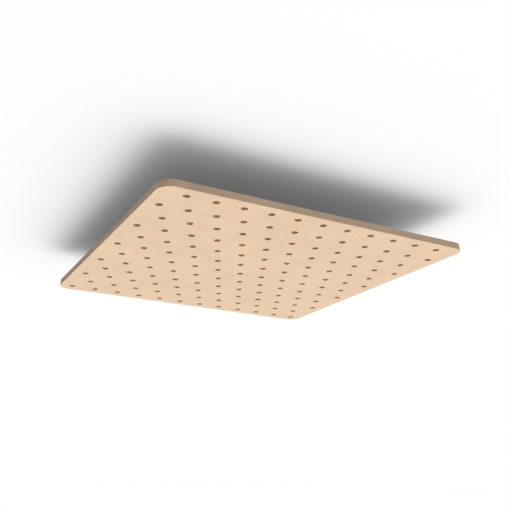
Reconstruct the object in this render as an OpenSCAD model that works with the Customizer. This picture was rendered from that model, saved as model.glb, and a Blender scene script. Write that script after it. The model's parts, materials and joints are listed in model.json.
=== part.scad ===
// Perforated ceiling panel: one square, round-cornered board of wood fibre with
// staggered rows of round perforations, and four threaded inserts pressed into
// its back for the hangers.
// The frame: X and Y run along the sides and +Z points up, to the ceiling. The
// origin is the centre of the back face, midway between the four hanging points,
// so the face that a room sees lies at z = -board_t.

/* [Board] */
// Side of the square board, along X and along Y
board_side = 600; // [400:10:1200]
// Thickness of the board
board_t = 12; // [12:0.5:25]
// Radius of the four corners, seen from below
corner_r = 25; // [5:1:50]
// Radius that sanding leaves along the outer edges of both faces
arris_r = 0.5; // [0.2:0.1:1.5]

/* [Perforations] */
// Diameter of a perforation
hole_d = 12; // [4:0.5:20]
// Step from hole to hole in a row, and from row to row
pitch = 50; // [40:1:90]
// Least distance from the centre of an outer hole to the edge of the board
hole_margin = 25; // [15:1:40]
// Width of the small bevel at both rims of a perforation
rim_bevel = 0.3; // [0.1:0.1:0.8]

/* [Hanging points] */
// Rows that lie between a pair of hanging points and the edge of the board
rows_outside = 2; // [1:1:3]
// Core diameter of the insert's M6 thread
thread_core_d = 5; // [4:0.1:5.2]
// Diameter of the insert's body at the roots of the barbs
body_d = 8.4; // [7.5:0.1:9]
// Diameter of the insert over its barbs
barb_d = 10; // [9.4:0.1:11]
// Step from barb to barb
barb_step = 2.1; // [1.8:0.1:2.4]
// Length over which a barb slopes out, on the way to its square shoulder
barb_slope = 1.5; // [1:0.1:1.7]
// Plain length at the insert's tip, before the first barb
tip_len = 0.5; // [0.3:0.1:0.8]
// Diameter of the flange
flange_d = 14; // [12.5:0.5:18]
// Thickness of the flange, which is let in flush with the back of the board
flange_t = 1.2; // [0.8:0.1:1.6]
// Length of the insert, flange included
insert_len = 8.5; // [7:0.5:9]
// Width of the bevel round the flange
flange_bevel = 0.3; // [0.1:0.1:0.6]
// Width of the countersink at the mouth, just more than the depth of the thread
mouth_bevel = 0.6; // [0.3:0.1:0.8]
// Full angle of that countersink
mouth_angle = 120; // [90:10:130]
// Play between the insert and its pocket, at the barbs and round the flange
pocket_play = 0.05; // [0.03:0.01:0.15]
// Free depth left under the insert in its pocket
pocket_relief = 0.8; // [0.3:0.1:1.5]

/* [Hidden] */
$fn = 64;

// As many as fit, with a thousandth added so that an exact fit isn't rounded away
holes_per_row = 1 + floor((board_side - 2 * hole_margin) / pitch + 0.001);
row_count = holes_per_row;
last_row_y = (row_count - 1) / 2 * pitch;
hanger_offset = last_row_y - (rows_outside - 0.5) * pitch;
barb_count = floor((insert_len - flange_t - tip_len) / barb_step + 0.001);

hole_r = hole_d / 2;
core_side = board_side - 2 * corner_r;
mouth_depth = mouth_bevel / tan(mouth_angle / 2);
cut_past = 1; // how far a cutting tool runs past the face it enters

board_colour = "#E7CAAD";
insert_colour = "#C5C7C9";

// Long rows and short rows take turns. The row at -Y is a short one.
function is_short_row(row) = row % 2 == 0;
function holes_in_row(row) = is_short_row(row) ? holes_per_row - 1 : holes_per_row;
function hole_place(row, k) = [
    (k - (holes_in_row(row) - 1) / 2) * pitch,
    row * pitch - last_row_y
];

// Section of the board's rim, from the inside at x = 0 to the eased edge at corner_r
module rim_section() {
    translate([0, -board_t]) square([corner_r - arris_r, board_t]);
    translate([0, arris_r - board_t]) square([corner_r, board_t - 2 * arris_r]);
    for (y = [-arris_r, arris_r - board_t])
        translate([corner_r - arris_r, y]) circle(r = arris_r);
}

// Along one side the section runs straight, and round a corner it turns
module rim_side() {
    rotate([90, 0, 0]) linear_extrude(core_side) rim_section();
}

module rim_corner() {
    rotate_extrude(angle = 90) rim_section();
}

module board_blank() {
    translate([-core_side / 2, -core_side / 2, -board_t])
        cube([core_side, core_side, board_t]);
    for (side = [0:3]) rotate([0, 0, 90 * side]) translate([core_side / 2, core_side / 2, 0]) {
        rim_side();
        rim_corner();
    }
}

// What the drill and the sander take away at one perforation
module perforation() {
    rotate_extrude() polygon([
        [0, -board_t - rim_bevel],
        [hole_r + 2 * rim_bevel, -board_t - rim_bevel],
        [hole_r, -board_t + rim_bevel],
        [hole_r, -rim_bevel],
        [hole_r + 2 * rim_bevel, rim_bevel],
        [0, rim_bevel]
    ]);
}

module perforations() {
    for (row = [0:row_count - 1], k = [0:holes_in_row(row) - 1])
        translate(hole_place(row, k)) perforation();
}

module at_hanging_points() {
    for (x = [-1, 1], y = [-1, 1])
        translate([x * hanger_offset, y * hanger_offset, 0]) children();
}

// Blind bore for the barbs and a shallow seat for the flange, from the back
module insert_pocket() {
    bore_depth = insert_len + pocket_relief;
    translate([0, 0, -bore_depth])
        cylinder(h = bore_depth + cut_past, d = barb_d + 2 * pocket_play);
    translate([0, 0, -flange_t])
        cylinder(h = flange_t + cut_past, d = flange_d + 2 * pocket_play);
}

module board() {
    color(board_colour) difference() {
        board_blank();
        perforations();
        at_hanging_points() insert_pocket();
    }
}

// One saw-tooth barb: it slopes on the way in and has a square shoulder that
// faces the flange, so it bites when the weight of the board pulls on it
function barb_points(i) =
    let (
        foot = -insert_len + tip_len + i * barb_step,
        shoulder = foot + barb_slope
    )
    [[body_d / 2, foot], [barb_d / 2, shoulder], [body_d / 2, shoulder]];

module hanger_insert() {
    core_r = thread_core_d / 2;
    rotate_extrude() polygon(concat(
        [[core_r, -mouth_depth], [core_r, -insert_len], [body_d / 2, -insert_len]],
        [for (i = [0:barb_count - 1]) each barb_points(i)],
        [
            [body_d / 2, -flange_t],
            [flange_d / 2, -flange_t],
            [flange_d / 2, -flange_bevel],
            [flange_d / 2 - flange_bevel, 0],
            [core_r + mouth_bevel, 0]
        ]
    ));
}

module hanger_inserts() {
    color(insert_colour) at_hanging_points() hanger_insert();
}

board();
hanger_inserts();
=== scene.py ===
# %% [markdown]
# A perforated ceiling panel.
# The real object is one board of wood fibre, 600 mm square and 12 mm thick, with rounded
# corners and staggered rows of drilled holes that let sound through. Four metal inserts
# in its back take the hangers. The solids come ready-made and to scale, so this lesson
# is about looks: where the camera stands, what light falls on the board, what pressed
# wood fibre looks like from near by, and how a small turned part gets its thread.
# All lengths are in metres. The origin is the centre of the back of the board and +Z
# points up to the ceiling, so the face that a room sees looks down.

# %% Load the solids and measure them
import json
import math

import bmesh
import bpy
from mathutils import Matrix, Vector


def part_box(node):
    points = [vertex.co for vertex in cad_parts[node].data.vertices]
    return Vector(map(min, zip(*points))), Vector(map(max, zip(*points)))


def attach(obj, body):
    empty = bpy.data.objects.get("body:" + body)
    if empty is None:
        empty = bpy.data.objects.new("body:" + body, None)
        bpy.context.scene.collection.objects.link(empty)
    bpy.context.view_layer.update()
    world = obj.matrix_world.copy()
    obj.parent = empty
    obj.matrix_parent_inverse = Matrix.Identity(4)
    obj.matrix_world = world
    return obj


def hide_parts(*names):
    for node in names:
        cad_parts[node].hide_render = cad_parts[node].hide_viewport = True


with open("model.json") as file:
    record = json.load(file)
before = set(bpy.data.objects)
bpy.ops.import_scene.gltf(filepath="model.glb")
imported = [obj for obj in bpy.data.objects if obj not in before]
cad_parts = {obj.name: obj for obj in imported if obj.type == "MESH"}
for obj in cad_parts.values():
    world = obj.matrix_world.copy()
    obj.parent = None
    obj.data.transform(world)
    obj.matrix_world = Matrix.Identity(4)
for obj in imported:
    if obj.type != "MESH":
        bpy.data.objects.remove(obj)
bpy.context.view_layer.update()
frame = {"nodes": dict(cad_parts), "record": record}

MM = 0.001
board_low, board_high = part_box("board")
board_half = board_high[0]
board_t = board_high[2] - board_low[2]
mounts = {mount["name"]: mount for mount in frame["record"]["mounts"]}
hanger_dims = mounts["hanger_points"]["dims"]
hanger_offset = hanger_dims["spacing_x_mm"] / 2 * MM
print("board", round(2 * board_half, 4), "m square and", round(board_t, 4), "m thick")
print("hanging points", hanger_offset, "m from the middle, along X and along Y")

# %% [markdown]
# The camera.
# A product picture of a ceiling panel is taken from below and off to one side, so that
# its face, two of its edges and the shade over it all show. The place could be found by
# eye, but here it was worked out: the perforations are an even grid, and only one place
# of the camera gives that grid the perspective of the picture. A lens of 50 mm on a
# 36 mm sensor fits it, with no shift and no roll.

# %% Stand the camera under the panel
LENS_MM = 50
SENSOR_MM = 36
NEAREST_SEEN, FARTHEST_SEEN = 0.01, 60
CAMERA_PLACE = Vector((-0.6366, -1.1893, -0.4539))
AIM_X, AIM_Y = -0.0288, -0.0901

aim = Vector((AIM_X, AIM_Y, board_low[2]))
camera_data = bpy.data.cameras.new("camera")
camera_data.lens = LENS_MM
camera_data.sensor_width = SENSOR_MM
camera_data.clip_start = NEAREST_SEEN
camera_data.clip_end = FARTHEST_SEEN
camera = bpy.data.objects.new("camera", camera_data)
camera.location = CAMERA_PLACE
camera.rotation_mode = "QUATERNION"
camera.rotation_quaternion = (aim - CAMERA_PLACE).to_track_quat("-Z", "Y")
bpy.context.collection.objects.link(camera)
bpy.context.scene.camera = camera
bpy.context.scene.view_settings.view_transform = "Standard"
print("camera", round((aim - CAMERA_PLACE).length, 3), "m from the point that it looks at")

# %% [markdown]
# Small helpers for shader nodes.
# A material is a graph of nodes, and writing one in code soon drowns in lines that add
# a node and link it. Short helpers keep each step to one line. The first adds a node,
# the second feeds a socket from another socket or from a plain value, and the rest are
# for the sums, soft steps, mixes and noises that every material here is made of.

# %% Node helpers
def add_node(tree, kind, **settings):
    node = tree.nodes.new(kind)
    for name, value in settings.items():
        setattr(node, name, value)
    return node


def feed(tree, source, target):
    if isinstance(source, bpy.types.NodeSocket):
        tree.links.new(source, target)
    else:
        target.default_value = source


def calc(tree, operation, first, second=0.0):
    node = add_node(tree, "ShaderNodeMath", operation=operation)
    feed(tree, first, node.inputs[0])
    feed(tree, second, node.inputs[1])
    return node.outputs[0]


def vector_calc(tree, operation, first, second):
    node = add_node(tree, "ShaderNodeVectorMath", operation=operation)
    feed(tree, first, node.inputs[0])
    feed(tree, second, node.inputs[1])
    return node.outputs[0]


def fade(tree, value, start, end):
    """0 where value is at start, 1 where it is at end, and a soft step between them."""
    node = add_node(tree, "ShaderNodeMapRange", interpolation_type="SMOOTHSTEP")
    feed(tree, value, node.inputs["Value"])
    feed(tree, start, node.inputs["From Min"])
    feed(tree, end, node.inputs["From Max"])
    return node.outputs["Result"]


def mix_values(tree, factor, first, second):
    node = add_node(tree, "ShaderNodeMix", data_type="FLOAT")
    feed(tree, factor, node.inputs["Factor"])
    feed(tree, first, node.inputs["A"])
    feed(tree, second, node.inputs["B"])
    return node.outputs["Result"]


def split(tree, vector):
    node = add_node(tree, "ShaderNodeSeparateXYZ")
    feed(tree, vector, node.inputs[0])
    return node.outputs


def noise(tree, place, scale, detail=2.0, roughness=0.5, kind="3D"):
    """Cloudy noise around 0.5. The scale is in waves to the metre."""
    node = add_node(tree, "ShaderNodeTexNoise", noise_dimensions=kind)
    feed(tree, place, node.inputs["W" if kind == "1D" else "Vector"])
    feed(tree, scale, node.inputs["Scale"])
    feed(tree, detail, node.inputs["Detail"])
    feed(tree, roughness, node.inputs["Roughness"])
    return node.outputs["Fac"]


def mix_colours(tree, factor, first, second):
    node = add_node(tree, "ShaderNodeMix", data_type="RGBA")
    feed(tree, factor, node.inputs["Factor"])
    feed(tree, first, node.inputs["A"])
    feed(tree, second, node.inputs["B"])
    return node.outputs["Result"]


print("node helpers are ready")

# %% [markdown]
# The light.
# In a room, light falls on a ceiling panel from all sides, and most of it from where a
# window or a bright floor lies. Lamps could do that, but a sky does it with less grain
# in the render: an even glow, a little stronger on the +X side, and one broad softbox
# between +X and +Y. The two near edges then differ and are dimmer than the face, and
# the shade on the ceiling falls to the near left. Both parts depend only on how far a
# direction leans, so the same light comes from below and from above. The softbox fades
# as a bell curve does, with a rim that SOFTBOX_EDGE makes a little crisper. Its level is
# worked out so that a flat face takes in exactly 1, and a colour then renders about as
# it is written.

# %% An even glow and a softbox as one sky
ROOM_LEVEL = 0.565
LEAN_X = 0.436
SOFTBOX_X, SOFTBOX_Y = 0.333, 0.352
SOFTBOX_WIDTH = 0.504
SOFTBOX_EDGE = 1.55
SUM_STEPS = 100


def softbox_share():
    """What a flat face takes in from a softbox of level 1, summed over all directions."""
    ticks = [(k + 0.5) / SUM_STEPS * 2 - 1 for k in range(SUM_STEPS)]
    seen_from_face = [(x, y) for x in ticks for y in ticks if x * x + y * y < 1]
    total = 0
    for x, y in seen_from_face:
        aside = ((x - SOFTBOX_X) ** 2 + (y - SOFTBOX_Y) ** 2) / SOFTBOX_WIDTH ** 2
        total += math.exp(-aside ** SOFTBOX_EDGE)
    return total / len(seen_from_face)


sky = bpy.data.worlds.new("soft_studio")
sky.use_nodes = True
bpy.context.scene.world = sky
tree = sky.node_tree
tree.nodes.clear()
direction = add_node(tree, "ShaderNodeTexCoord").outputs["Generated"]
along_x, along_y = split(tree, direction)[:2]
glow = calc(tree, "ADD", calc(tree, "MULTIPLY", along_x, ROOM_LEVEL * LEAN_X), ROOM_LEVEL)
aside_x = calc(tree, "DIVIDE", calc(tree, "SUBTRACT", along_x, SOFTBOX_X), SOFTBOX_WIDTH)
aside_y = calc(tree, "DIVIDE", calc(tree, "SUBTRACT", along_y, SOFTBOX_Y), SOFTBOX_WIDTH)
aside = calc(tree, "ADD", calc(tree, "POWER", aside_x, 2), calc(tree, "POWER", aside_y, 2))
softbox_level = (1 - ROOM_LEVEL) / softbox_share()
fall = calc(tree, "POWER", math.exp(-1), calc(tree, "POWER", aside, SOFTBOX_EDGE))
softbox = calc(tree, "MULTIPLY", fall, softbox_level)
light_level = calc(tree, "ADD", glow, softbox)

rays = add_node(tree, "ShaderNodeLightPath").outputs
seen = calc(tree, "MAXIMUM", rays["Is Camera Ray"],
            calc(tree, "MAXIMUM", rays["Is Glossy Ray"], rays["Is Transmission Ray"]))
background = add_node(tree, "ShaderNodeBackground")
feed(tree, mix_values(tree, seen, light_level, 1.0), background.inputs["Strength"])
feed(tree, (1, 1, 1, 1), background.inputs["Color"])
feed(tree, background.outputs[0], add_node(tree, "ShaderNodeOutputWorld").inputs["Surface"])
print("glow", ROOM_LEVEL, "and softbox", round(softbox_level, 3))

# %% [markdown]
# The ceiling and the floor.
# The panel hangs a few centimetres under a white ceiling, and the soft shade that it
# puts there says how near it is. Seen from above, it lies on a pale floor. Solid planes
# would block the light of the other side, so each is seen by the camera only, and only
# from the side that it faces. The floor keeps a hair's breadth from the panel's face,
# because a ray can't tell which of two surfaces at one height comes first. One more
# thing has to be kept true: in a room, the back of the panel is in the dark under its
# ceiling, but here light also falls on it from above. A dark card lies over the panel,
# and only rays that come down from the ceiling see it, so that the bright back doesn't
# fill the shade.

# %% Ceiling, floor and shade card
CEILING_GAP = 65 * MM
FLOOR_GAP = 0.2 * MM
CARD_LIFT = 1 * MM
CARD_LEVEL = 0.095
PLANE_HALF = 20


def one_sided(name, surface_kind, colour_socket, colour):
    """A material that shows from the front and is clear from behind."""
    material = bpy.data.materials.new(name)
    material.use_nodes = True
    tree = material.node_tree
    tree.nodes.clear()
    surface = add_node(tree, surface_kind)
    feed(tree, colour, surface.inputs[colour_socket])
    clear = add_node(tree, "ShaderNodeBsdfTransparent")
    from_behind = add_node(tree, "ShaderNodeNewGeometry").outputs["Backfacing"]
    choice = add_node(tree, "ShaderNodeMixShader")
    feed(tree, from_behind, choice.inputs["Fac"])
    feed(tree, surface.outputs[0], choice.inputs[1])
    feed(tree, clear.outputs[0], choice.inputs[2])
    feed(tree, choice.outputs[0], add_node(tree, "ShaderNodeOutputMaterial").inputs["Surface"])
    return material


def stage_plane(name, half, height, facing, material):
    corners = [(-half, -half), (half, -half), (half, half), (-half, half)][::facing]
    mesh = bpy.data.meshes.new(name)
    mesh.from_pydata([(x, y, height) for x, y in corners], [], [(0, 1, 2, 3)])
    mesh.materials.append(material)
    plane = bpy.data.objects.new(name, mesh)
    bpy.context.collection.objects.link(plane)
    plane.visible_diffuse = False
    plane.visible_glossy = False
    plane.visible_transmission = False
    plane.visible_shadow = False
    return plane


white = one_sided("stage_white", "ShaderNodeBsdfDiffuse", "Color", (1, 1, 1, 1))
ceiling = stage_plane("ceiling", PLANE_HALF, board_high[2] + CEILING_GAP, -1, white)
floor = stage_plane("floor", PLANE_HALF, board_low[2] - FLOOR_GAP, 1, white)
dim = one_sided("shade_card", "ShaderNodeEmission", "Strength", CARD_LEVEL)
card = stage_plane("shade_card", board_half, board_high[2] + CARD_LIFT, 1, dim)
card.visible_camera = False
card.visible_diffuse = True
for plane in (ceiling, floor, card):
    print(plane.name, "at", round(plane.data.vertices[0].co.z, 4),
          "facing", plane.data.polygons[0].normal.z)

# %% [markdown]
# Patterns that are built once.
# Felt, tool marks and the like are needed at several sizes or in several places. Their
# nodes could be added each time anew, but a node group holds them once, under a name,
# with named inputs for what differs. The first helper opens a new group with its
# sockets, and the second places a group in a material with values of its own.

# %% Helpers for node groups
def new_group(name, inputs, outputs):
    group = bpy.data.node_groups.new(name, "ShaderNodeTree")
    for label, kind, value in inputs:
        socket = group.interface.new_socket(label, in_out="INPUT", socket_type=kind)
        socket.default_value = value
    for label in outputs:
        group.interface.new_socket(label, in_out="OUTPUT", socket_type="NodeSocketFloat")
    given = add_node(group, "NodeGroupInput").outputs
    made = add_node(group, "NodeGroupOutput").inputs
    return group, given, made


def use_group(tree, group, **values):
    """Places a group. Each keyword is an input's name, with _ for a space."""
    node = add_node(tree, "ShaderNodeGroup", node_tree=group)
    for label, value in values.items():
        feed(tree, value, node.inputs[label.replace("_", " ")])
    return node.outputs


print("group helpers are ready")

# %% [markdown]
# Flat fibres.
# Fibreboard is a felt of wood fibres that were blown into a mat and pressed, so every
# fibre lies flat, in any direction. An image of that felt would do, but it would repeat
# and need unwrapping. Instead, space is cut into flat Voronoi cells, and each cell
# holds one short strand, turned about Z by the cell's own random number. Because the
# pattern fills the whole thickness, a cut anywhere shows it rightly: long strands on
# the faces, and short dashes along the edges.

# %% Node group: flat fibres
CELL_IN_WIDTHS = 3
SOLID_ACROSS = 0.2
SOLID_ALONG = 0.4

fibres, given, made = new_group(
    "flat_fibres",
    [("Place", "NodeSocketVector", (0, 0, 0)),
     ("Length", "NodeSocketFloat", 2 * MM),
     ("Width", "NodeSocketFloat", 0.2 * MM)],
    ["Fibre", "Shade"])
cell_height = calc(fibres, "MULTIPLY", given["Width"], CELL_IN_WIDTHS)
cell = add_node(fibres, "ShaderNodeCombineXYZ")
feed(fibres, given["Length"], cell.inputs["X"])
feed(fibres, given["Length"], cell.inputs["Y"])
feed(fibres, cell_height, cell.inputs["Z"])
in_cells = vector_calc(fibres, "DIVIDE", given["Place"], cell.outputs[0])
cells = add_node(fibres, "ShaderNodeTexVoronoi", voronoi_dimensions="3D", feature="F1")
feed(fibres, in_cells, cells.inputs["Vector"])
feed(fibres, 1.0, cells.inputs["Scale"])
from_middle = vector_calc(fibres, "SUBTRACT", in_cells, cells.outputs["Position"])
from_middle = vector_calc(fibres, "MULTIPLY", from_middle, cell.outputs[0])
chance = split(fibres, cells.outputs["Color"])
turn = add_node(fibres, "ShaderNodeVectorRotate", rotation_type="Z_AXIS")
feed(fibres, from_middle, turn.inputs["Vector"])
feed(fibres, calc(fibres, "MULTIPLY", chance[0], math.tau), turn.inputs["Angle"])
strand_x, strand_y, strand_z = split(fibres, turn.outputs[0])


def within(tree, distance, reach, solid_share):
    """1 near the middle of a strand, falling to 0 at its reach."""
    size = calc(tree, "ABSOLUTE", distance)
    return fade(tree, size, reach, calc(tree, "MULTIPLY", reach, solid_share))


half_length = calc(fibres, "MULTIPLY", given["Length"], 0.5)
half_width = calc(fibres, "MULTIPLY", given["Width"], 0.5)
across = calc(fibres, "MULTIPLY", within(fibres, strand_y, half_width, SOLID_ACROSS),
              within(fibres, strand_z, half_width, SOLID_ACROSS))
along = within(fibres, strand_x, half_length, SOLID_ALONG)
feed(fibres, calc(fibres, "MULTIPLY", across, along), made["Fibre"])
feed(fibres, chance[1], made["Shade"])
print("group", fibres.name, "has", len(fibres.nodes), "nodes")

# %% [markdown]
# The layers of a pressed board.
# The hot press packs the outer millimetres of a fibreboard tighter than its core. On a
# cut edge the skins are smooth and a little darker, and the core is paler and more open.
# A group turns the depth under the nearer face into one value, 0 at the face and 1 in
# the core. Only the cut walls are shaded by it, since a face shows nothing but skin.

# %% Node group: board layers
layers, given, made = new_group(
    "board_layers",
    [("Place", "NodeSocketVector", (0, 0, 0)),
     ("Lowest", "NodeSocketFloat", 0.0),
     ("Highest", "NodeSocketFloat", 0.0),
     ("Skin", "NodeSocketFloat", 2 * MM)],
    ["Core"])
height = split(layers, given["Place"])[2]
depth = calc(layers, "MINIMUM", calc(layers, "SUBTRACT", height, given["Lowest"]),
             calc(layers, "SUBTRACT", given["Highest"], height))
feed(layers, fade(layers, depth, 0.0, given["Skin"]), made["Core"])
print("group", layers.name, "has", len(layers.nodes), "nodes")

# %% [markdown]
# Where a router or a drill has cut.
# The board has two kinds of surface: the sanded faces, and the walls that a tool has
# cut, which are browner and rougher. They could be separate materials on separate
# faces, but the small bevels between them would then change colour in a hard line. The
# direction of the surface tells them apart instead: level is sanded, upright is cut.
# How far a wall lies from the middle of the board then tells the routed outline from
# the drilled holes, whose walls are painted a little darker as shade inside the holes.

# %% Node group: cut walls
ROUTER_STEP = 1.1 * MM
DRILL_STEP = 0.35 * MM
SANDED_LEVEL, CUT_LEVEL = 0.9, 0.5

cuts, given, made = new_group(
    "cut_walls",
    [("Place", "NodeSocketVector", (0, 0, 0)),
     ("Outline", "NodeSocketFloat", 0.3)],
    ["Cut", "Drilled", "Ripple"])
facing = add_node(cuts, "ShaderNodeNewGeometry").outputs["Normal"]
level_share = calc(cuts, "ABSOLUTE", split(cuts, facing)[2])
cut = fade(cuts, level_share, SANDED_LEVEL, CUT_LEVEL)
place_x, place_y, place_z = split(cuts, given["Place"])
outermost = calc(cuts, "MAXIMUM", calc(cuts, "ABSOLUTE", place_x),
                 calc(cuts, "ABSOLUTE", place_y))
inside = calc(cuts, "LESS_THAN", outermost, given["Outline"])
router = calc(cuts, "SINE", calc(cuts, "MULTIPLY", calc(cuts, "ADD", place_x, place_y),
                                 math.tau / ROUTER_STEP))
drill = calc(cuts, "SINE", calc(cuts, "MULTIPLY", place_z, math.tau / DRILL_STEP))
ripple = mix_values(cuts, inside, router, drill)
feed(cuts, cut, made["Cut"])
# Drilled marks the hole walls, which the colour later paints darker as shade in the holes
feed(cuts, calc(cuts, "MULTIPLY", cut, inside), made["Drilled"])
feed(cuts, calc(cuts, "MULTIPLY", cut, ripple), made["Ripple"])
print("group", cuts.name, "has", len(cuts.nodes), "nodes")

# %% [markdown]
# What the board's felt is made of.
# From near by the board is made of strands, darker and lighter, with a few broad
# slivers that the mill has left whole. Between them lie grit and specks of dust, and
# over all of it faint clouds, where the felt is a little denser or its wood a little
# redder. One noise can't give strands and clouds at once, so each is a pattern of its
# own, at its real size. Fibres are never quite straight, so the space that the strands
# lie in is bent a little first.

# %% Patterns of the board
PERFORATION_D = 12 * MM
CORNER_R = 25 * MM
SKIN_DEPTH = 2.2 * MM
SWAY_WAVES = 350.0
SWAY_REACH = 0.9 * MM
OTHER_PLACE = (0.37, 0.11, 0.05)

board_material = bpy.data.materials.new("wood_fibre_board")
board_material.use_nodes = True
board_tree = board_material.node_tree
board_tree.nodes.clear()
place = add_node(board_tree, "ShaderNodeTexCoord").outputs["Object"]

sway = add_node(board_tree, "ShaderNodeTexNoise")
feed(board_tree, place, sway.inputs["Vector"])
feed(board_tree, SWAY_WAVES, sway.inputs["Scale"])
feed(board_tree, 1.0, sway.inputs["Detail"])
bent = add_node(board_tree, "ShaderNodeVectorMath", operation="MULTIPLY_ADD")
feed(board_tree, sway.outputs["Color"], bent.inputs[0])
feed(board_tree, (SWAY_REACH,) * 3, bent.inputs[1])
feed(board_tree, place, bent.inputs[2])
bent = bent.outputs[0]
# Patterns of one kind would line up in one place, so every other one is moved elsewhere
shifted = vector_calc(board_tree, "ADD", bent, OTHER_PLACE)

slivers = use_group(board_tree, fibres, Place=shifted, Length=7 * MM, Width=1.1 * MM)
coarse = use_group(board_tree, fibres, Place=bent, Length=3.4 * MM, Width=0.24 * MM)
medium = use_group(board_tree, fibres, Place=shifted, Length=1.7 * MM, Width=0.15 * MM)
fine = use_group(board_tree, fibres, Place=bent, Length=0.9 * MM, Width=0.09 * MM)
grit = noise(board_tree, place, 2200.0, detail=1.0)
specks = noise(board_tree, place, 420.0, detail=2.0)
small_clouds = noise(board_tree, place, 110.0, detail=5.0, roughness=0.65)
clouds = noise(board_tree, shifted, 28.0, detail=3.0)
large_clouds = noise(board_tree, place, 9.0, detail=2.0)
redness = noise(board_tree, shifted, 35.0, detail=4.0, roughness=0.6)

corner_reach = board_half - CORNER_R * (1 - math.sqrt(0.5))
last_hole_reach = board_half - CORNER_R + PERFORATION_D / 2
drilled_within = (corner_reach + last_hole_reach) / 2
wall = use_group(board_tree, cuts, Place=place, Outline=drilled_within)
core = use_group(board_tree, layers, Place=place, Lowest=board_low[2],
                 Highest=board_high[2], Skin=SKIN_DEPTH)["Core"]
print("walls are drilled within", round(drilled_within, 4), "m")

# %% [markdown]
# The board's colour.
# From a step away the board is one even, pale, warm tan. A picture of it could be
# painted, but the patterns are already there, so they only have to be weighed. Clouds,
# specks and grit each move the brightness by a few hundredths. A single strand moves it
# by up to three tenths, but is too fine to be seen from a step away. All of them add up
# to one factor that scales the colour, and on a cut they count about twice as much. The
# colour itself runs between two tans that differ in warmth, and walls take the browner
# tones of a cut.

# %% Colour of the board
FACE_WARM = (0.812, 0.570, 0.384, 1)
FACE_PALE = (0.792, 0.584, 0.404, 1)
ROUTED_COLOUR = (0.598, 0.435, 0.300, 1)
# Painted shade: the drilled walls are darker to stand in for the shade inside the holes
DRILLED_SHADED_COLOUR = (0.571, 0.392, 0.238, 1)
CUT_CONTRAST_MORE = 1.1
SKIN_SHADE = 0.1


def swing(tree, value, middle, amount):
    """How far a value lies from its middle, times an amount."""
    return calc(tree, "MULTIPLY", calc(tree, "SUBTRACT", value, middle), amount)


bright = swing(board_tree, grit, 0.5, 0.18)
for source, amount in ((specks, 0.34), (small_clouds, 0.14), (clouds, 0.13),
                       (large_clouds, 0.14)):
    bright = calc(board_tree, "ADD", bright, swing(board_tree, source, 0.5, amount))
for strands, amount in ((slivers, 0.22), (coarse, 0.5), (medium, 0.5), (fine, 0.45)):
    shade = swing(board_tree, strands["Shade"], 0.6, amount)
    bright = calc(board_tree, "ADD", bright,
                  calc(board_tree, "MULTIPLY", strands["Fibre"], shade))
# A cut lays the felt open, so all of this stands out more there than on a sanded face
contrast = calc(board_tree, "MULTIPLY", wall["Cut"], CUT_CONTRAST_MORE)
contrast = calc(board_tree, "ADD", contrast, 1)
bright = calc(board_tree, "MULTIPLY", bright, contrast)
layer_shade = swing(board_tree, core, 0.6, SKIN_SHADE)
bright = calc(board_tree, "ADD", bright, calc(board_tree, "MULTIPLY", layer_shade, wall["Cut"]))
bright = calc(board_tree, "ADD", bright, 1)

redder = fade(board_tree, redness, 0.35, 0.65)
colour = mix_colours(board_tree, redder, FACE_PALE, FACE_WARM)
colour = mix_colours(board_tree, wall["Cut"], colour, ROUTED_COLOUR)
# The drilled walls take the darker colour, which is painted shade inside the holes
colour = mix_colours(board_tree, wall["Drilled"], colour, DRILLED_SHADED_COLOUR)
coloured = add_node(board_tree, "ShaderNodeVectorMath", operation="SCALE")
feed(board_tree, colour, coloured.inputs[0])
feed(board_tree, bright, coloured.inputs["Scale"])
print("the face runs from", FACE_PALE[:3], "to", FACE_WARM[:3])

# %% [markdown]
# The board's relief and gloss.
# Sanding leaves strands standing a few hundredths of a millimetre proud, and the tools
# leave fine ripples on what they cut. Such relief is far too fine for the mesh, so one
# bump node makes it from the same masks as the colour, and light and colour then agree.
# The surface is matte, since sanded fibre has no film on it that could shine.

# %% Relief and gloss of the board
RELIEF_DEPTH = 0.03 * MM
RELIEF_STRENGTH = 0.6
SANDED_ROUGHNESS = 0.74
CUT_ROUGHNESS_MORE = 0.1
BOARD_SPECULAR = 0.25

relief = calc(board_tree, "MULTIPLY", grit, 0.5)
for source, amount in ((coarse["Fibre"], 0.9), (medium["Fibre"], 0.6),
                       (fine["Fibre"], 0.4), (wall["Ripple"], 0.25)):
    relief = calc(board_tree, "ADD", relief, calc(board_tree, "MULTIPLY", source, amount))
bump = add_node(board_tree, "ShaderNodeBump")
feed(board_tree, RELIEF_STRENGTH, bump.inputs["Strength"])
feed(board_tree, RELIEF_DEPTH, bump.inputs["Distance"])
feed(board_tree, relief, bump.inputs["Height"])

rough = calc(board_tree, "ADD", swing(board_tree, grit, 0.5, 0.16), SANDED_ROUGHNESS)
cut_rough = calc(board_tree, "MULTIPLY", wall["Cut"], CUT_ROUGHNESS_MORE)
rough = calc(board_tree, "ADD", rough, cut_rough)

shader = add_node(board_tree, "ShaderNodeBsdfPrincipled")
feed(board_tree, coloured.outputs[0], shader.inputs["Base Color"])
feed(board_tree, rough, shader.inputs["Roughness"])
feed(board_tree, bump.outputs[0], shader.inputs["Normal"])
feed(board_tree, BOARD_SPECULAR, shader.inputs["Specular IOR Level"])
board_output = add_node(board_tree, "ShaderNodeOutputMaterial")
feed(board_tree, shader.outputs[0], board_output.inputs["Surface"])

board = frame["nodes"]["board"]
board.data.materials.clear()
board.data.materials.append(board_material)
print("the board's material has", len(board_tree.nodes), "nodes")

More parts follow.
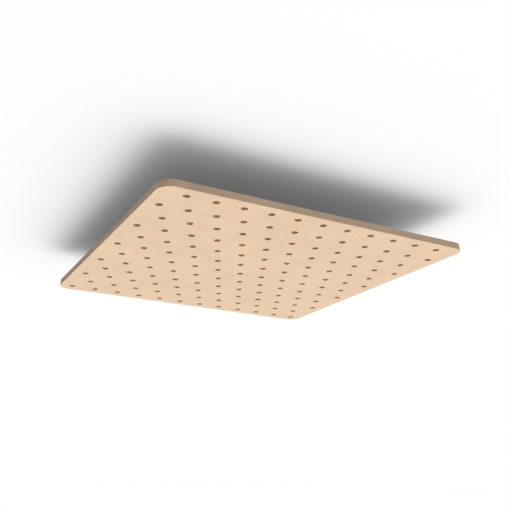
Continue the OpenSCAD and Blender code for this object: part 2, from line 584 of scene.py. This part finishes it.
# %% [markdown]
# The hanger inserts.
# Each insert is a turned steel sleeve with an M6 thread inside and saw-tooth barbs
# outside, pressed into a blind pocket so that its flange lies flush with the back of
# the board. The solid has a plain bore, so this mesh stands in for it and adds the
# thread. A screw modifier could make the helix, but it would not join up with the
# countersink. Here the bore is a grid of points that climbs by one thread pitch in
# each turn, so that the crests run along the grid's own lines and stay crisp.

# %% Sizes of one insert
ROUND_STEPS = 64
THREAD_PITCH = 1.0 * MM
THREAD_STEPS = 8
THREAD_ROOT_R = 3.0 * MM
ROOT_FLAT, CREST_FLAT = 1 / 8, 1 / 4
INSERT_LEN = 8.5 * MM
FLANGE_R = 7.0 * MM
FLANGE_T = 1.2 * MM
FLANGE_ROUND = 0.3 * MM
FLANGE_ROUND_STEPS = 4
BODY_R = 4.2 * MM
BARB_R = 5.0 * MM
BARB_COUNT = 3
BARB_STEP = 2.1 * MM
BARB_SLOPE = 1.5 * MM
TIP_LEN = 0.5 * MM
MOUTH_BEVEL = 0.6 * MM
MOUTH_ANGLE = math.radians(120)
thread_crest_r = hanger_dims["hole_r_mm"] * MM
mouth_flare = math.tan(MOUTH_ANGLE / 2)
thread_rows = round((INSERT_LEN / THREAD_PITCH + 1) * THREAD_STEPS)
print("the thread runs from radius", thread_crest_r, "to", THREAD_ROOT_R)

# %% [markdown]
# The two walls of an insert.
# Cut open along its axis, an insert shows an outer wall, with its flange and barbs, and
# a bore. The outer wall is the same all the way round, so it is a list of points. The
# thread isn't, and a table of its points would be long, so the bore is a formula: it
# gives the radius at any height and share of a turn. The thread's flat root is an eighth
# of a pitch wide and its flat crest a quarter, as in any standard metric nut.

# %% Walls of one insert
def bore_height(row, turn_share):
    """Height of a row of the grid, held between the tip and the back of the board."""
    climb = (row / THREAD_STEPS + turn_share - 1) * THREAD_PITCH
    return min(max(climb, 0.0), INSERT_LEN) - INSERT_LEN


def bore_radius(z, turn_share):
    """The thread's wall, from flat root to flat crest, and the countersink."""
    phase = (z / THREAD_PITCH - turn_share) % 1.0
    past_root = abs(phase - 0.5) - ROOT_FLAT / 2
    flank = (1 - ROOT_FLAT - CREST_FLAT) / 2
    to_crest = min(max(past_root / flank, 0.0), 1.0)
    thread_r = THREAD_ROOT_R + (thread_crest_r - THREAD_ROOT_R) * to_crest
    return max(thread_r, thread_crest_r + MOUTH_BEVEL + z * mouth_flare)


def outer_profile():
    """Radius and height, from the flange's top edge down to the tip."""
    turns = [math.pi / 2 * step / FLANGE_ROUND_STEPS for step in range(FLANGE_ROUND_STEPS + 1)]
    points = [(FLANGE_R - FLANGE_ROUND * (1 - math.sin(turn)),
               -FLANGE_ROUND * (1 - math.cos(turn))) for turn in turns]
    points += [(FLANGE_R, -FLANGE_T), (BODY_R, -FLANGE_T)]
    for barb in reversed(range(BARB_COUNT)):
        foot = -INSERT_LEN + TIP_LEN + barb * BARB_STEP
        points += [(BODY_R, foot + BARB_SLOPE), (BARB_R, foot + BARB_SLOPE), (BODY_R, foot)]
    return points + [(BODY_R, -INSERT_LEN)]


print("an insert has", len(outer_profile()), "rings outside and", thread_rows + 1, "in the bore")

# %% [markdown]
# From rings to a mesh.
# An insert's surface is a closed band: down the outside, round the tip, up the bore and
# back over the flange. Each level of it is a ring of points, and rings that follow each
# other are joined by four-sided faces. Blender's spin tool could turn the outside, but
# not the climbing bore, and one way for both leaves no seam to close.

# %% Rings and faces of one insert
def add_ring(mesh, centre, radius_and_height):
    """A ring of points. The function gives the radius and height at a share of a turn."""
    ring = []
    for k in range(ROUND_STEPS):
        share = k / ROUND_STEPS
        radius, z = radius_and_height(share)
        ring.append(mesh.verts.new((centre[0] + radius * math.cos(math.tau * share),
                                    centre[1] + radius * math.sin(math.tau * share), z)))
    return ring


def add_insert(mesh, centre):
    outside = [add_ring(mesh, centre, lambda share, point=point: point)
               for point in outer_profile()]
    bore = []
    for row in range(thread_rows + 1):
        def wall_at(share, row=row):
            z = bore_height(row, share)
            return bore_radius(z, share), z
        bore.append(add_ring(mesh, centre, wall_at))
    strips = list(zip(outside, outside[1:])) + [(outside[-1], bore[0]), (bore[-1], outside[0])]
    for upper, lower in strips:
        for k in range(ROUND_STEPS):
            after = (k + 1) % ROUND_STEPS
            mesh.faces.new((upper[k], lower[k], lower[after], upper[after]))
    for row in range(thread_rows):
        for k in range(ROUND_STEPS):
            # Past the last point of a turn, the grid goes on one thread pitch higher up
            after, rise = (k + 1, 0) if k + 1 < ROUND_STEPS else (0, THREAD_STEPS)
            low_after = bore[min(row + rise, thread_rows)][after]
            high_after = bore[min(row + 1 + rise, thread_rows)][after]
            corners = [bore[row][k], bore[row + 1][k], high_after, low_after]
            corners = [c for i, c in enumerate(corners) if c not in corners[:i]]
            mesh.faces.new(corners)


print("each ring has", ROUND_STEPS, "points")

# %% [markdown]
# Four inserts in one mesh.
# The inserts are four equal parts. Each could be an object of its own, but the solids
# hold them in one node, so one mesh stands in for that. Where the bore's rows run out,
# at the tip and at the mouth, they fall together, so doubled points are welded and what
# has no size left is taken out. Shading is then smooth but for edges sharper than a set
# angle, which keeps barbs and crests crisp on a round sleeve.

# %% Mesh of the four inserts
WELD_REACH = 0.001 * MM
NO_LENGTH = 0.0001 * MM
SHARP_FROM = math.radians(28)

shape = bmesh.new()
for sign_x in (-1, 1):
    for sign_y in (-1, 1):
        add_insert(shape, (sign_x * hanger_offset, sign_y * hanger_offset))
bmesh.ops.remove_doubles(shape, verts=shape.verts, dist=WELD_REACH)
bmesh.ops.dissolve_degenerate(shape, edges=shape.edges, dist=NO_LENGTH)
bmesh.ops.recalc_face_normals(shape, faces=shape.faces)
open_edges = sum(1 for edge in shape.edges if len(edge.link_faces) != 2)
insert_mesh = bpy.data.meshes.new("threaded_inserts")
shape.to_mesh(insert_mesh)
shape.free()
for polygon in insert_mesh.polygons:
    polygon.use_smooth = True
insert_mesh.set_sharp_from_angle(angle=SHARP_FROM)
print("inserts:", len(insert_mesh.polygons), "faces,", open_edges, "open edges")

# %% [markdown]
# The inserts' finish.
# The sleeves are turned from steel bar and plated with zinc, which leaves a soft,
# slightly blue grey. A lathe cuts a spiral so fine that it reads as rings round the
# axis, on the flange as on the barbs. The rings could be modelled, but at a few
# hundredths of a millimetre they belong in the shader: a noise that depends only on
# the distance from the axis and on the height gives rings of uneven depth, as a real
# tool does.

# %% Material: zinc plate
ZINC_COLOUR = (0.59, 0.60, 0.62, 1)
ZINC_STAIN = (0.42, 0.42, 0.42, 1)
ZINC_ROUGHNESS = 0.34
RING_WAVES = 7000.0
RING_DEPTH = 0.02 * MM
RING_STRENGTH = 0.5

zinc = bpy.data.materials.new("zinc_plate")
zinc.use_nodes = True
tree = zinc.node_tree
tree.nodes.clear()
place = add_node(tree, "ShaderNodeTexCoord").outputs["Object"]
place_x, place_y, place_z = split(tree, place)
from_axis = add_node(tree, "ShaderNodeCombineXYZ")
for axis, value in (("X", place_x), ("Y", place_y)):
    feed(tree, calc(tree, "SUBTRACT", calc(tree, "ABSOLUTE", value), hanger_offset),
         from_axis.inputs[axis])
radius = add_node(tree, "ShaderNodeVectorMath", operation="LENGTH")
feed(tree, from_axis.outputs[0], radius.inputs[0])
spiral = calc(tree, "ADD", radius.outputs["Value"], place_z)
rings = noise(tree, spiral, RING_WAVES, detail=2.0, kind="1D")
bloom = noise(tree, place, 420.0, detail=3.0)
pits = noise(tree, place, 3200.0, detail=1.0)

bump = add_node(tree, "ShaderNodeBump")
feed(tree, RING_STRENGTH, bump.inputs["Strength"])
feed(tree, RING_DEPTH, bump.inputs["Distance"])
feed(tree, calc(tree, "ADD", rings, calc(tree, "MULTIPLY", pits, 0.3)), bump.inputs["Height"])
stain = calc(tree, "MULTIPLY", fade(tree, bloom, 0.45, 0.75), 0.5)
stain = calc(tree, "ADD", stain, fade(tree, rings, 0.5, 0.7))
dull = calc(tree, "ADD", swing(tree, rings, 0.5, 0.2), ZINC_ROUGHNESS)

shader = add_node(tree, "ShaderNodeBsdfPrincipled")
feed(tree, mix_colours(tree, stain, ZINC_COLOUR, ZINC_STAIN), shader.inputs["Base Color"])
feed(tree, dull, shader.inputs["Roughness"])
feed(tree, 1.0, shader.inputs["Metallic"])
feed(tree, bump.outputs[0], shader.inputs["Normal"])
feed(tree, shader.outputs[0], add_node(tree, "ShaderNodeOutputMaterial").inputs["Surface"])
print("the zinc plate has", len(tree.nodes), "nodes")

# %% [markdown]
# Where the inserts go.
# The mesh was made at its place in the board, so the object stays at the origin, as the
# solids do. It stands for the solid inserts, takes the finish that the record names for
# them, and goes wherever the board goes.

# %% Put the inserts in their pockets
inserts = bpy.data.objects.new("threaded_inserts", insert_mesh)
insert_mesh.materials.append(zinc)
bpy.context.collection.objects.link(inserts)
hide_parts("hanger_inserts")
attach(inserts, "root")
